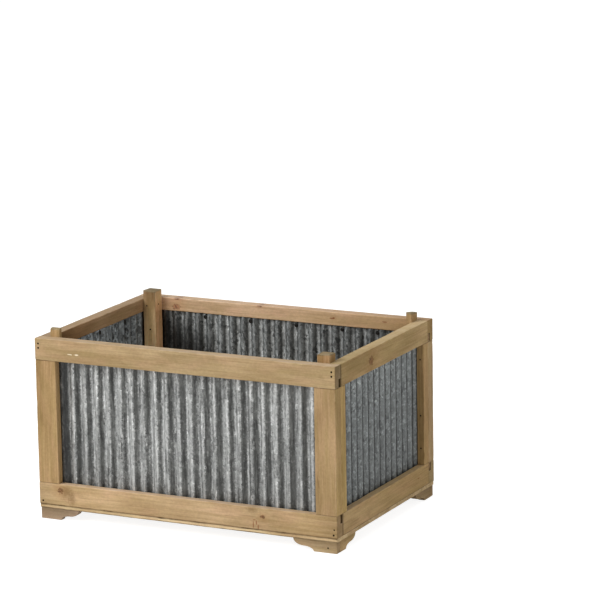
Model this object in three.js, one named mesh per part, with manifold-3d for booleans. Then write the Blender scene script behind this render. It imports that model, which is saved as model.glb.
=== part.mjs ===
// Rectangular planter box: a softwood frame with corrugated zinc walls, a board floor and scrolled feet.
// Millimetres. X runs along the length, -Y is the front, +Z is up. The origin is on the ground, mid-box.
import * as THREE from "three";
import { mergeVertices } from "three/addons/utils/BufferGeometryUtils.js";
import Module from "manifold-3d";

const wasm = await Module();
wasm.setup();

// Frame
const length = 560;
const width = 388.5;
const railHeight = 37.3;
const railThickness = 20.5;
const stileHeight = 212.8;
const stileWidth = 38.5;
const stripWidth = 17.5;
// The rabbet runs along the inner edge of rails and stiles and takes the edges of the wall panels.
const rabbetDepth = 6.8;
const rabbetLap = 14;

// Corner posts: two are square in section, two are slim battens.
const postWide = 22.5;
const postSlim = 9.5;
const stubHeight = 14;
const postChamfer = 1.2;

// Floor and feet
const floorThickness = 6.4;
const floorInset = 0.6;
const footHeight = 19.2;
const footThickness = 12;
const footInset = 1.6;
const longFootFlat = 39;
const shortFootFlat = 22;
const footCoveRun = 18.5;
const footCoveRise = 7.8;
const footBellyRun = 19;
const footArcSteps = 8;

// Corrugated sheet
const sheetThickness = 0.7;
const ridgePitch = 22.3;
const stepsPerRidge = 8;
// Where a ridge lies on each side, from the middle of the side to the right as seen from outside
const frontRidge = 4.9;
const rightRidge = 1.7;
const backRidge = -4.9;
const leftRidge = 1;

// Nails: brads join the rails, broad-headed nails hold the panels.
const bradRadius = 0.9;
const bradHeadRadius = 1.4;
const bradHeadThickness = 0.9;
const bradSet = 0.4;
const bradGrip = 14;
const bradInset = 6.5;
const bradHighDrop = 9;
const bradLowDrop = 16.5;
const bradRise = 5.5;
const nailRadius = 0.85;
const nailHeadRadius = 2.5;
const nailHeadThickness = 1.1;
const nailTipCover = 3;
const nailPoint = 2.4;
const nailSides = 8;

// Clearances: between boards, around the sheet in its rabbet, and around nails.
const jointGap = 0.3;
const sheetGap = 0.3;
const nailGap = 0.25;

// Levels, from the ground up
const floorBottom = footHeight + jointGap;
const floorTop = floorBottom + floorThickness;
const lowRailBottom = floorTop + jointGap;
const lowRailTop = lowRailBottom + railHeight;
const stileBottom = lowRailTop + jointGap;
const topRailBottom = stileBottom + stileHeight + jointGap;
const rimTop = topRailBottom + railHeight;
const nailLevel = topRailBottom + rabbetLap / 2;

// What the rabbet leaves of a rail's thickness, and the wave of a sheet that fits the rabbet
const lip = railThickness - rabbetDepth;
const waveMiddle = lip + rabbetDepth / 2;
const waveAmplitude = (rabbetDepth - 2 * sheetGap - sheetThickness) / 2;

// The four sides. Each is drawn as if it were the front and turned into place about the middle of the box.
// The ends name its left and right as seen from outside, crest is the place of one ridge along the side,
// and nails counts ridges from that one.
const longRun = length;
const shortRun = width - 2 * (railThickness + jointGap);
// Half a turn and a quarter turn
const half = Math.PI;
const quarter = half / 2;
const longNails = [-8, -5, -1, 3, 7];
const endNails = [-4, 0];
const sides = [
  { name: "front", long: true, turn: 0, ends: ["left", "right"], crest: frontRidge, nails: longNails },
  { name: "right", long: false, turn: quarter, ends: ["front", "back"], crest: rightRidge, nails: endNails },
  { name: "back", long: true, turn: half, ends: ["right", "left"], crest: backRidge, nails: longNails },
  { name: "left", long: false, turn: -quarter, ends: ["back", "front"], crest: leftRidge, nails: endNails },
];

const corners = [
  { name: "front_left", x: -1, y: -1, sizeX: postWide, sizeY: postSlim },
  { name: "front_right", x: 1, y: -1, sizeX: postWide, sizeY: postWide },
  { name: "back_left", x: -1, y: 1, sizeX: postWide, sizeY: postWide },
  { name: "back_right", x: 1, y: 1, sizeX: postSlim, sizeY: postWide },
];

// Materials
const railWood = new THREE.MeshStandardMaterial({ color: 0xb4966e, roughness: 0.75, metalness: 0 });
const stileWood = new THREE.MeshStandardMaterial({ color: 0xae8f66, roughness: 0.75, metalness: 0 });
const postWood = new THREE.MeshStandardMaterial({ color: 0xa8875c, roughness: 0.8, metalness: 0 });
const footWood = new THREE.MeshStandardMaterial({ color: 0x9c845f, roughness: 0.85, metalness: 0 });
const floorWood = new THREE.MeshStandardMaterial({ color: 0xc0a47c, roughness: 0.85, metalness: 0 });
const zinc = new THREE.MeshStandardMaterial({ color: 0x9da0a0, roughness: 0.5, metalness: 0.8 });
const bradSteel = new THREE.MeshStandardMaterial({ color: 0x5a4632, roughness: 0.6, metalness: 0.7 });
const nailSteel = new THREE.MeshStandardMaterial({ color: 0x1c1b1a, roughness: 0.55, metalness: 0.6 });

// Geometry helpers

function outlineShape(points) {
  return new THREE.Shape(points.map(([x, y]) => new THREE.Vector2(x, y)));
}

function extruded(shape, depth) {
  return new THREE.ExtrudeGeometry(shape, { depth, bevelEnabled: false });
}

// A closed solid from a geometry: corners that coincide are shared, and faces without area are left out.
function toSolid(geometry) {
  const bare = geometry.clone();
  bare.deleteAttribute("normal");
  bare.deleteAttribute("uv");
  const merged = mergeVertices(bare);
  const corner = merged.index.array;
  const triangles = [];
  for (let i = 0; i < corner.length; i += 3) {
    const [a, b, c] = [corner[i], corner[i + 1], corner[i + 2]];
    if (a !== b && b !== c && c !== a) triangles.push(a, b, c);
  }
  const vertProperties = Float32Array.from(merged.attributes.position.array);
  const triVerts = Uint32Array.from(triangles);
  return new wasm.Manifold(new wasm.Mesh({ numProp: 3, vertProperties, triVerts }));
}

function fromSolid(solid) {
  const mesh = solid.getMesh();
  const geometry = new THREE.BufferGeometry();
  geometry.setAttribute("position", new THREE.BufferAttribute(mesh.vertProperties, 3));
  geometry.setIndex(new THREE.BufferAttribute(mesh.triVerts, 1));
  const flat = geometry.toNonIndexed();
  flat.computeVertexNormals();
  return flat;
}

function cutBy(geometry, tools) {
  const body = tools.reduce((solid, tool) => solid.subtract(toSolid(tool)), toSolid(geometry));
  return fromSolid(body);
}

function addMesh(group, name, geometry, material, x = 0, y = 0, z = 0) {
  const mesh = new THREE.Mesh(geometry, material);
  mesh.name = name;
  mesh.position.set(x, y, z);
  group.add(mesh);
  return mesh;
}

// Boards

const alongX = new THREE.Matrix4().makeBasis(
  new THREE.Vector3(0, 1, 0),
  new THREE.Vector3(0, 0, 1),
  new THREE.Vector3(1, 0, 0),
);

// A rail along X, its outer face at y = 0 and its underside at z = 0. A top rail has the rabbet below.
function railBoard(run, rabbetAbove) {
  const section = [
    [0, 0],
    [lip, 0],
    [lip, rabbetLap],
    [railThickness, rabbetLap],
    [railThickness, railHeight],
    [0, railHeight],
  ];
  const points = rabbetAbove ? section.map(([depth, height]) => [depth, railHeight - height]) : section;
  return extruded(outlineShape(points), run).applyMatrix4(alongX).translate(-run / 2, 0, 0);
}

// A stile of a long side, from its outer edge at x = 0 towards the panel. Hand is 1 or -1.
function stileBoard(hand) {
  const section = [
    [0, 0],
    [stileWidth, 0],
    [stileWidth, lip],
    [stileWidth - rabbetLap, lip],
    [stileWidth - rabbetLap, railThickness],
    [0, railThickness],
  ];
  return extruded(outlineShape(section.map(([x, y]) => [hand * x, y])), stileHeight);
}

// A strip of a short side. It is only as thick as the lip, so that the panel passes behind it.
function stripBoard() {
  return new THREE.BoxGeometry(stripWidth, lip, stileHeight).translate(0, lip / 2, stileHeight / 2);
}

// A foot board in the XZ plane, from its heel at x = 0 along the scroll: flat, hollow cove, round belly.
function footBoard(hand, flat) {
  const coveEnd = flat + footCoveRun;
  const bellyRise = footHeight - footCoveRise;
  const scroll = new THREE.Path();
  scroll.moveTo(0, footHeight);
  scroll.lineTo(0, 0);
  scroll.lineTo(flat, 0);
  scroll.absellipse(coveEnd, 0, footCoveRun, footCoveRise, half, quarter, true);
  scroll.absellipse(coveEnd, footHeight, footBellyRun, bellyRise, -quarter, 0, false);
  const points = scroll.getPoints(footArcSteps / 2).map((point) => [hand * point.x, point.y]);
  const upright = new THREE.Matrix4().makeRotationX(quarter);
  return extruded(outlineShape(points), footThickness).applyMatrix4(upright).translate(0, footThickness, 0);
}

function postBoard(sizeX, sizeY, height) {
  const corner = [sizeX / 2, sizeY / 2];
  const section = [[-1, -1], [1, -1], [1, 1], [-1, 1]].map(([x, y]) => [x * corner[0], y * corner[1]]);
  return new THREE.ExtrudeGeometry(outlineShape(section), {
    depth: height - 2 * postChamfer,
    bevelThickness: postChamfer,
    bevelSize: postChamfer,
    bevelOffset: -postChamfer,
    bevelSegments: 1,
  }).translate(0, 0, postChamfer);
}

// Corrugated sheet: a cosine wave across the side, thickened along its normals. A ridge points outwards (-Y).
const waveNumber = (2 * Math.PI) / ridgePitch;

function sheetPanel(run, height, crest) {
  const step = ridgePitch / stepsPerRidge;
  const firstStep = Math.ceil((-run / 2 - crest) / step);
  const lastStep = Math.floor((run / 2 - crest) / step);
  const stops = [-run / 2];
  for (let k = firstStep + 1; k < lastStep; k++) {
    stops.push(crest + k * step);
  }
  stops.push(run / 2);
  const offsetBy = (distance) => (x) => {
    const phase = waveNumber * (x - crest);
    const slope = waveAmplitude * waveNumber * Math.sin(phase);
    const stretch = Math.hypot(1, slope);
    return [x - (distance * slope) / stretch, -waveAmplitude * Math.cos(phase) + distance / stretch];
  };
  const outside = stops.map(offsetBy(-sheetThickness / 2));
  const inside = stops.map(offsetBy(sheetThickness / 2));
  return extruded(outlineShape([...outside, ...inside.reverse()]), height);
}

// Nails

// A nail along +Y with the top of its head at y = 0. Grow and lead give the hole that it sits in.
function nailBody(headRadius, headThickness, radius, reach, grow = 0, lead = 0) {
  const profile = [
    [0, -lead],
    [headRadius + grow, -lead],
    [headRadius + grow, headThickness + grow],
    [radius + grow, headThickness + grow],
    [radius + grow, reach - nailPoint],
    [0, reach + grow],
  ];
  return new THREE.LatheGeometry(profile.map(([r, y]) => new THREE.Vector2(r, y)), nailSides);
}

const bradReach = railThickness - bradSet + jointGap + bradGrip;

// The head of a panel nail bears on the flanks of the valley, so it stands a little off the valley's bottom.
const valleyRise = waveAmplitude * (1 - Math.cos(waveNumber * nailHeadRadius));
const valleyBottom = waveMiddle - waveAmplitude + sheetThickness / 2;
const nailHeadTop = valleyBottom + valleyRise + nailGap + nailHeadThickness;
const nailReach = nailHeadTop - nailTipCover;

function brad(grow = 0, lead = 0) {
  return nailBody(bradHeadRadius, bradHeadThickness, bradRadius, bradReach, grow, lead);
}

function panelNail() {
  return nailBody(nailHeadRadius, nailHeadThickness, nailRadius, nailReach).rotateZ(half);
}

function panelNailHole() {
  return nailBody(nailRadius, 0, nailRadius, nailReach, nailGap).rotateZ(half);
}

// The brads at each end of a long side: the underside of the rail they go through, and their height above it
const cornerBrads = [
  { place: "upper", railBottom: topRailBottom, height: railHeight - bradHighDrop },
  { place: "lower", railBottom: topRailBottom, height: railHeight - bradLowDrop },
  { place: "base", railBottom: lowRailBottom, height: bradRise },
];

// Brad holes through the ends of a long rail, or into the ends of a short rail
function bradHoles(long, run, railBottom) {
  const holes = [];
  for (const { height } of cornerBrads.filter((each) => each.railBottom === railBottom)) {
    for (const end of [-1, 1]) {
      const hole = brad(nailGap, 2 * bradSet);
      if (long) {
        hole.translate(end * (run / 2 - bradInset), bradSet, height);
      } else {
        hole.translate(0, bradSet - railThickness - jointGap, 0).rotateZ(end * quarter);
        hole.translate((end * run) / 2, bradInset, height);
      }
      holes.push(hole);
    }
  }
  return holes;
}

// One side of the box, drawn as the front: rails, stiles or strips, panel, feet and nails

function buildSide({ name, long, turn, ends, crest, nails }) {
  const group = new THREE.Group();
  const run = long ? longRun : shortRun;
  const face = long ? -width / 2 : -length / 2;
  const nailPlaces = nails.map((count) => crest + count * ridgePitch);

  const nailHoles = nailPlaces.map((x) => panelNailHole().translate(x, nailHeadTop, rabbetLap / 2));
  const topRail = cutBy(railBoard(run, false), [...bradHoles(long, run, topRailBottom), ...nailHoles]);
  const lowRail = cutBy(railBoard(run, true), bradHoles(long, run, lowRailBottom));
  addMesh(group, `${name}_top_rail`, topRail, railWood, 0, face, topRailBottom);
  addMesh(group, `${name}_bottom_rail`, lowRail, railWood, 0, face, lowRailBottom);

  const panelRun = (long ? length - 2 * (stileWidth - rabbetLap) : shortRun) - 2 * sheetGap - sheetThickness;
  const panelBottom = lowRailTop - rabbetLap + jointGap;
  const panelHeight = topRailBottom + rabbetLap - jointGap - panelBottom;
  const holeAt = (x) => panelNailHole().translate(x, nailHeadTop - waveMiddle, nailLevel - panelBottom);
  const panel = cutBy(sheetPanel(panelRun, panelHeight, crest), nailPlaces.map(holeAt));
  addMesh(group, `${name}_panel`, panel, zinc, 0, face + waveMiddle, panelBottom);

  nailPlaces.forEach((x, index) => {
    const nailName = `${name}_panel_nail_${index + 1}`;
    addMesh(group, nailName, panelNail(), nailSteel, x, face + nailHeadTop, nailLevel);
  });

  [-1, 1].forEach((end, index) => {
    const corner = `${name}_${ends[index]}`;
    if (long) {
      addMesh(group, `${corner}_stile`, stileBoard(-end), stileWood, (end * length) / 2, face, stileBottom);
      const heel = end * (length / 2 - footInset);
      addMesh(group, `${corner}_foot`, footBoard(-end, longFootFlat), footWood, heel, face + footInset, 0);
      const bradX = end * (length / 2 - bradInset);
      for (const { place, railBottom, height } of cornerBrads) {
        const bradName = `${corner}_${place}_brad`;
        addMesh(group, bradName, brad(), bradSteel, bradX, face + bradSet, railBottom + height);
      }
    } else {
      const stripX = end * (run / 2 - stripWidth / 2);
      addMesh(group, `${corner}_strip`, stripBoard(), stileWood, stripX, face, stileBottom);
      const heel = end * (width / 2 - footInset - footThickness - jointGap);
      addMesh(group, `${corner}_foot`, footBoard(-end, shortFootFlat), footWood, heel, face + footInset, 0);
    }
  });

  group.rotation.z = turn;
  return group;
}

// Assembly

const planter = new THREE.Group();
planter.name = "planter_box";

for (const side of sides) {
  planter.add(buildSide(side));
}

const floorGeometry = new THREE.BoxGeometry(length - 2 * floorInset, width - 2 * floorInset, floorThickness);
addMesh(planter, "floor_board", floorGeometry, floorWood, 0, 0, floorBottom + floorThickness / 2);

const postBottom = floorTop + jointGap;
const postHeight = rimTop + stubHeight - postBottom;
for (const { name, x, y, sizeX, sizeY } of corners) {
  const postX = x * (length / 2 - railThickness - jointGap - sizeX / 2);
  const postY = y * (width / 2 - railThickness - jointGap - sizeY / 2);
  addMesh(planter, `${name}_post`, postBoard(sizeX, sizeY, postHeight), postWood, postX, postY, postBottom);
}

export default planter;
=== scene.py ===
# %% [markdown]
# # A planter box of stained softwood and corrugated zinc
# The real object is a low, open box. Boards make its frame, thin corrugated sheets fill its four walls, and
# small scrolled brackets lift it off the ground. The solids of all these pieces already exist as a frame of
# named nodes. This lesson dresses them: every board gets eased edges and grain, every sheet gets its fine
# wave and its patina. The dressing stays in the same place and size as the solids.

import bpy
import numpy as np
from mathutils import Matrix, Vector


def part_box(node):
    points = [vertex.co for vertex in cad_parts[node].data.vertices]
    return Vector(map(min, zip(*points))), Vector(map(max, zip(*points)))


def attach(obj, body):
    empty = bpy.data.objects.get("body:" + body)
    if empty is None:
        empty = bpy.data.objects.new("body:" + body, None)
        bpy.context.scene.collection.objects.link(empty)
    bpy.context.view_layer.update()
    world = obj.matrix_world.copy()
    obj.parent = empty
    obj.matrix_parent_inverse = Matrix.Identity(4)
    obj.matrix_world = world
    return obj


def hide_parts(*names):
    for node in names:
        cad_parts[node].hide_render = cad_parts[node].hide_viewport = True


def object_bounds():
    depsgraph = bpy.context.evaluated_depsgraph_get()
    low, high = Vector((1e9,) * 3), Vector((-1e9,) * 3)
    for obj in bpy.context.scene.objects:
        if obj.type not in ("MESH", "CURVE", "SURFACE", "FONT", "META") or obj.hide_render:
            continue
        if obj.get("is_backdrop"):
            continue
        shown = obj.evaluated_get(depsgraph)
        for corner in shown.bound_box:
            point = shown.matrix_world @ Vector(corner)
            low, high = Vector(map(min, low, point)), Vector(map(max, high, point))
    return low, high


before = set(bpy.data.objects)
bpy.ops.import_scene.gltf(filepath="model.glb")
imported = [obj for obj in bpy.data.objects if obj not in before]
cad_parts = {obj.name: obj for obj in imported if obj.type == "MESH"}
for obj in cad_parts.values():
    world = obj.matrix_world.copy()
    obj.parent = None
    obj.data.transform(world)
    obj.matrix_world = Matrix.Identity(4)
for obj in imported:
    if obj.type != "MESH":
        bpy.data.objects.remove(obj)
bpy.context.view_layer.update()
scene = bpy.context.scene

# %% [markdown]
# ## The camera
# The view is from the front right and a little above, through a very long lens, so the box shows almost no
# perspective. The place and the turn of the camera were worked out from the straight edges of the frame: they
# were varied until the drawn edges lay on the seen ones. The picture is square.

# %% Camera
view = bpy.data.cameras.new("studio_view")
view.lens = 201.04
view.sensor_width = 36
view.clip_end = 200
camera = bpy.data.objects.new("studio_view", view)
camera.location = (2.5572, -4.9224, 1.5694)
camera.rotation_euler = np.radians((77.7059, 0.9408, 26.1037))
scene.collection.objects.link(camera)
scene.camera = camera
print("lens", view.lens, "mm, camera at", tuple(camera.location))

# %% [markdown]
# ## Node helpers
# A material is a small network of nodes. It could be wired by hand in the shader editor, but a script can be
# read and repeated. A few helpers keep the network code short: they make a node and feed its sockets, do one
# step of arithmetic, mix colours, and make a group with named sockets, which several materials can share.

# %% Node helpers
def feed(tree, target, feeds):
    """Feeds a node's sockets by name or number, each with a link or with a plain value."""
    for key, value in feeds.items():
        if isinstance(value, bpy.types.NodeSocket):
            tree.links.new(value, target.inputs[key])
        else:
            target.inputs[key].default_value = value
    return target


def node(tree, kind, feeds=None, **options):
    """Makes a node of a kind, sets its options and feeds its sockets."""
    made = tree.nodes.new(kind)
    for key, value in options.items():
        setattr(made, key, value)
    return feed(tree, made, feeds or {})


def calc(tree, operation, a, b=0.0, clamp=False):
    """One step of arithmetic on values."""
    return node(tree, "ShaderNodeMath", {0: a, 1: b}, operation=operation, use_clamp=clamp).outputs[0]


def times(tree, product, *others):
    """The product of two or more values."""
    for other in others:
        product = calc(tree, "MULTIPLY", product, other)
    return product


def swing(tree, value, *amounts):
    """A value from 0 to 1, moved to lie round 0 and multiplied by the amounts."""
    return times(tree, calc(tree, "SUBTRACT", value, 0.5), *amounts)


def on_vector(tree, operation, a, b=(0, 0, 0)):
    """One step of arithmetic on vectors. A length is a value, every other result is a vector."""
    made = node(tree, "ShaderNodeVectorMath", {0: a, 1: b}, operation=operation)
    return made.outputs["Value" if operation == "LENGTH" else "Vector"]


def ease(tree, value, low, high, first=0.0, last=1.0):
    """A smooth step: first below low, last above high, and an S-curve between."""
    feeds = {"Value": value, "From Min": low, "From Max": high, "To Min": first, "To Max": last}
    return node(tree, "ShaderNodeMapRange", feeds, interpolation_type="SMOOTHSTEP").outputs["Result"]


def noise(tree, vector, stretch, detail=2.0, rough=0.5):
    """Cloudy values from 0 to 1, squeezed by a factor along each axis. Factors are in waves per metre."""
    scaled = on_vector(tree, "MULTIPLY", vector, stretch)
    feeds = {"Vector": scaled, "Scale": 1.0, "Detail": detail, "Roughness": rough}
    return node(tree, "ShaderNodeTexNoise", feeds).outputs["Fac"]


def blend(tree, amount, first, second, mode="MIX"):
    """Mixes two colours by an amount from 0 to 1."""
    feeds = {0: amount, 6: first, 7: second}
    mix = node(tree, "ShaderNodeMix", feeds, data_type="RGBA", blend_type=mode, clamp_factor=True)
    return mix.outputs[2]


def shaded(tree, colour, factor):
    """Multiplies a colour by another colour or by a value."""
    return blend(tree, 1.0, colour, factor, "MULTIPLY")


def carried(tree, name, output):
    """A value, vector or colour that a piece carries on its points."""
    return node(tree, "ShaderNodeAttribute", attribute_name=name).outputs[output]


def bumped(tree, height, strength, distance):
    """The surface's normal, tilted as if the surface had this height."""
    feeds = {"Strength": strength, "Distance": distance, "Height": height}
    return node(tree, "ShaderNodeBump", feeds).outputs[0]


def new_material(name):
    """A fresh material, with its network and the shader in that network."""
    material = bpy.data.materials.new(name)
    material.use_nodes = True
    tree = material.node_tree
    return material, tree, tree.nodes["Principled BSDF"]


def group(name, inputs, outputs):
    """An empty node group. Inputs and outputs are pairs of a name and a socket type."""
    tree = bpy.data.node_groups.new(name, "ShaderNodeTree")
    for way, sockets in (("INPUT", inputs), ("OUTPUT", outputs)):
        for label, kind in sockets:
            tree.interface.new_socket(name=label, in_out=way, socket_type=kind)
    return tree, node(tree, "NodeGroupInput").outputs, node(tree, "NodeGroupOutput")


def use(tree, shared, feeds):
    """Places a shared group in a network."""
    return node(tree, "ShaderNodeGroup", feeds, node_tree=shared).outputs


def tone(red, green, blue):
    """A screen colour, 0 to 255 in each channel, as the linear colour that a shader works with."""
    value = np.array((red, green, blue)) / 255
    linear = np.where(value <= 0.04045, value / 12.92, ((value + 0.055) / 1.055) ** 2.4)
    return (*linear.tolist(), 1.0)


VECTOR, VALUE = "NodeSocketVector", "NodeSocketFloat"
WHITE = (1, 1, 1, 1)
print("node helpers are ready")

# %% [markdown]
# ## Floor and light
# The box stands on a plain white floor that runs on for ever. The floor is a white diffuse surface. Towards
# the camera, and in mirrored views, it also glows a little, so that it reads as white paper and keeps only a
# soft shadow under the feet. One large soft lamp at the front left gives the wood its bright front. A weaker,
# broad lamp low on the right keeps the shaded side readable, one overhead lightens the upper faces, and a dim
# even surround fills the rest, so that the inside of the box stays dark in its left corner.

# %% Floor and light
HALF_FLOOR, FLOOR_DROP = 40, 0.0003
PAPER, FAINT, GLOW = (0.8, 0.8, 0.8, 1), (0.4, 0.4, 0.4, 1), 0.88
SURROUND_STRENGTH = 0.32
LAMP_AIM = (0, 0, 0.15)


def white_floor():
    """Diffuse white. A ray from the camera or a mirror also sees an even glow, which lightens shadows."""
    material, tree, _ = new_material("white_floor")
    tree.nodes.clear()
    rays = node(tree, "ShaderNodeLightPath").outputs
    seen = calc(tree, "MAXIMUM", rays["Is Camera Ray"], rays["Is Glossy Ray"])
    seen = calc(tree, "MAXIMUM", seen, rays["Is Transmission Ray"])
    paper = node(tree, "ShaderNodeBsdfDiffuse", {"Color": PAPER}).outputs[0]
    faint = node(tree, "ShaderNodeBsdfDiffuse", {"Color": FAINT}).outputs[0]
    glow = node(tree, "ShaderNodeEmission", {"Color": WHITE, "Strength": GLOW}).outputs[0]
    bright = node(tree, "ShaderNodeAddShader", {0: faint, 1: glow}).outputs[0]
    mixed = node(tree, "ShaderNodeMixShader", {0: seen, 1: paper, 2: bright}).outputs[0]
    node(tree, "ShaderNodeOutputMaterial", {"Surface": mixed})
    return material


floor_mesh = bpy.data.meshes.new("floor")
floor_corners = HALF_FLOOR * np.array([(-1, -1, 0), (1, -1, 0), (1, 1, 0), (-1, 1, 0)]) - (0, 0, FLOOR_DROP)
floor_mesh.from_pydata(floor_corners.tolist(), [], [(0, 1, 2, 3)])
floor_mesh.materials.append(white_floor())
floor = bpy.data.objects.new("floor", floor_mesh)
scene.collection.objects.link(floor)
floor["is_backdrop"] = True

surround = bpy.data.worlds.new("grey_surround")
surround.use_nodes = True
sky = surround.node_tree.nodes["Background"]
feed(surround.node_tree, sky, {"Color": WHITE, "Strength": SURROUND_STRENGTH})
scene.world = surround


def soft_lamp(name, azimuth, height, distance, size, power, colour=(1, 1, 1)):
    """A square lamp on a sphere round the box, turned to its middle. Azimuth 0 is the front, 90 the right."""
    a, h = np.radians((azimuth, height))
    lamp = bpy.data.lights.new(name, "AREA")
    lamp.size = size
    lamp.energy = power
    lamp.color = colour
    made = bpy.data.objects.new(name, lamp)
    outwards = np.array((np.sin(a) * np.cos(h), -np.cos(a) * np.cos(h), np.sin(h)))
    made.location = distance * outwards + LAMP_AIM
    made.rotation_euler = (np.pi / 2 - h, 0, a)
    scene.collection.objects.link(made)


soft_lamp("key_lamp", azimuth=-35, height=38, distance=7, size=4.2, power=385)
soft_lamp("fill_lamp", azimuth=78, height=14, distance=4, size=2.4, power=23, colour=(1, 0.96, 0.88))
soft_lamp("top_lamp", azimuth=0, height=90, distance=4, size=3, power=42)
scene.view_settings.view_transform = "Standard"

# %% [markdown]
# ## Softwood grain
# The boards are sawn from a softwood trunk. In a trunk the wood lies in rings round the pith, pale where it
# grew in spring and darker where it grew in summer, and a board cuts through them. So the grain is worked out
# in space: each board carries coordinates along, across and into itself, measured from an imagined pith. The
# distance from the pith, bent a little by noise, gives the rings, on faces and ends alike. Fine fibres are
# noise that is drawn out along the board. A picture of wood would be quicker, but it would repeat and would
# not meet at the edges.

# %% Grain group
def softwood_grain():
    """Rings: the distance from the pith, divided by the ring width, keeps its fraction, and the late part of
    the fraction is dark. The other outputs are noise at several scales, drawn out along the board."""
    names = ("Late Wood", "Fibre", "Cloud", "Streak", "Smudge", "Patch", "Speckle")
    tree, given, result = group(
        "Softwood grain",
        [("Board", VECTOR), ("Ring Width", VALUE), ("Wander", VALUE), ("Swerve", VALUE)],
        [(name, VALUE) for name in names],
    )
    board = given["Board"]
    axes = node(tree, "ShaderNodeSeparateXYZ", {0: board}).outputs
    flat = node(tree, "ShaderNodeCombineXYZ", {1: axes[1], 2: axes[2]}).outputs[0]
    bend = swing(tree, noise(tree, board, (2.2, 11, 11), 1.5), given["Wander"])
    radius = calc(tree, "ADD", on_vector(tree, "LENGTH", flat), bend)
    radius = calc(tree, "ADD", radius, given["Swerve"])
    ripple = times(tree, noise(tree, board, (7, 120, 120), 2), 0.9)
    turns = calc(tree, "ADD", calc(tree, "DIVIDE", radius, given["Ring Width"]), ripple)
    year = calc(tree, "FRACT", turns)
    late = times(tree, ease(tree, year, 0.15, 0.8), ease(tree, year, 0.82, 1.0, 1, 0))
    fade = ease(tree, noise(tree, board, (3.5, 22, 22), 2), 0.35, 0.65, 0.15, 1.0)
    feed(tree, result, {
        "Late Wood": times(tree, late, fade),
        "Fibre": noise(tree, board, (18, 400, 400), 3, 0.65),
        "Cloud": noise(tree, board, (18, 55, 55), 3),
        "Streak": noise(tree, board, (3, 150, 150), 2.5),
        "Smudge": ease(tree, noise(tree, board, (24, 130, 130), 3, 0.6), 0.6, 0.76),
        "Patch": noise(tree, board, (7, 30, 30), 2),
        "Speckle": noise(tree, board, (220, 300, 300), 2, 0.6),
    })
    return tree


grain_group = softwood_grain()
grain_outputs = [s.name for s in grain_group.interface.items_tree if s.in_out == "OUTPUT"]
print("group", grain_group.name, "gives", grain_outputs)

# %% [markdown]
# ## Knots and small marks
# A knot is a branch that was cut through. It shows as a small dark disc, and the grain swings round it. The
# same shape, with other colours, serves for chips and stains. A mark has a middle and a radius in the frame's
# own metres, and a vector that says how much each axis counts, so that a mark can be long or can reach
# through the board.

# %% Mark group
def round_mark():
    """The distance from the middle, each axis weighed and ragged noise added, is divided by the radius. The
    outputs fall from 1 to 0 with it. Mark has a firm rim, Halo reaches four radii out, and Soft fades from
    the middle on."""
    tree, given, result = group(
        "Round mark",
        [("Place", VECTOR), ("Middle", VECTOR), ("Weigh", VECTOR), ("Radius", VALUE), ("Ragged", VALUE)],
        [("Mark", VALUE), ("Halo", VALUE), ("Soft", VALUE)],
    )
    away = on_vector(tree, "SUBTRACT", given["Place"], given["Middle"])
    far = on_vector(tree, "LENGTH", on_vector(tree, "MULTIPLY", away, given["Weigh"]))
    rough = noise(tree, given["Place"], (420, 420, 420), 2)
    rough = swing(tree, rough, given["Ragged"], given["Radius"])
    share = calc(tree, "DIVIDE", calc(tree, "ADD", far, rough), given["Radius"])
    feed(tree, result, {
        "Mark": ease(tree, share, 0.55, 1.1, 1, 0),
        "Halo": ease(tree, share, 0.6, 4.0, 1, 0),
        "Soft": ease(tree, share, 0.0, 1.3, 1, 0),
    })
    return tree


mark_group = round_mark()
print("group", mark_group.name, "is ready")

# %% [markdown]
# ## Stained wood
# The frame has a thin honey-coloured stain that lets the grain through. It took unevenly: some patches are
# olive, some are pink. Edges are rubbed paler by handling, joints hold dirt, and end grain drinks more stain,
# so it is darker and a little green. Rabbets are painted nearly black, as painted shade. Where those places
# are is known from the way the boards are made, so each board carries masks: edge is 1 on its rounded corners
# and -1 on a darkened corner, which mostly lies in a joint, end is 1 on its sawn ends, the rabbet mask is 1
# in its rabbet, and up is 1 on its upper face, which sun and water have bleached. A tint, a colour near
# white, makes each board a little different from its neighbours, and also carries painted light and shade.

# %% Stained wood
OLIVE, BLUSH, SMUDGED = tone(164, 142, 96), tone(198, 166, 130), tone(122, 92, 56)
PATCH_DARK, PATCH_LIGHT = (0.80, 0.775, 0.72, 1), (1.05, 1.05, 1.06, 1)
KNOT_HALO, KNOT_RIM = tone(150, 108, 66), tone(84, 54, 34)
KNOT_DARK, KNOT_LIGHT = tone(82, 52, 36), tone(142, 98, 64)
SPLIT, STAIN, CHIPPED = tone(124, 74, 44), tone(104, 78, 44), tone(240, 226, 196)
BLEACH, HANDLED = tone(200, 178, 152), tone(208, 184, 146)
# The second colour is painted shade: it makes the inside of a rabbet nearly black.
DIRT, RABBET_SHADE = tone(70, 50, 26), tone(26, 18, 10)
KNOT_SWERVE = 0.009


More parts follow.
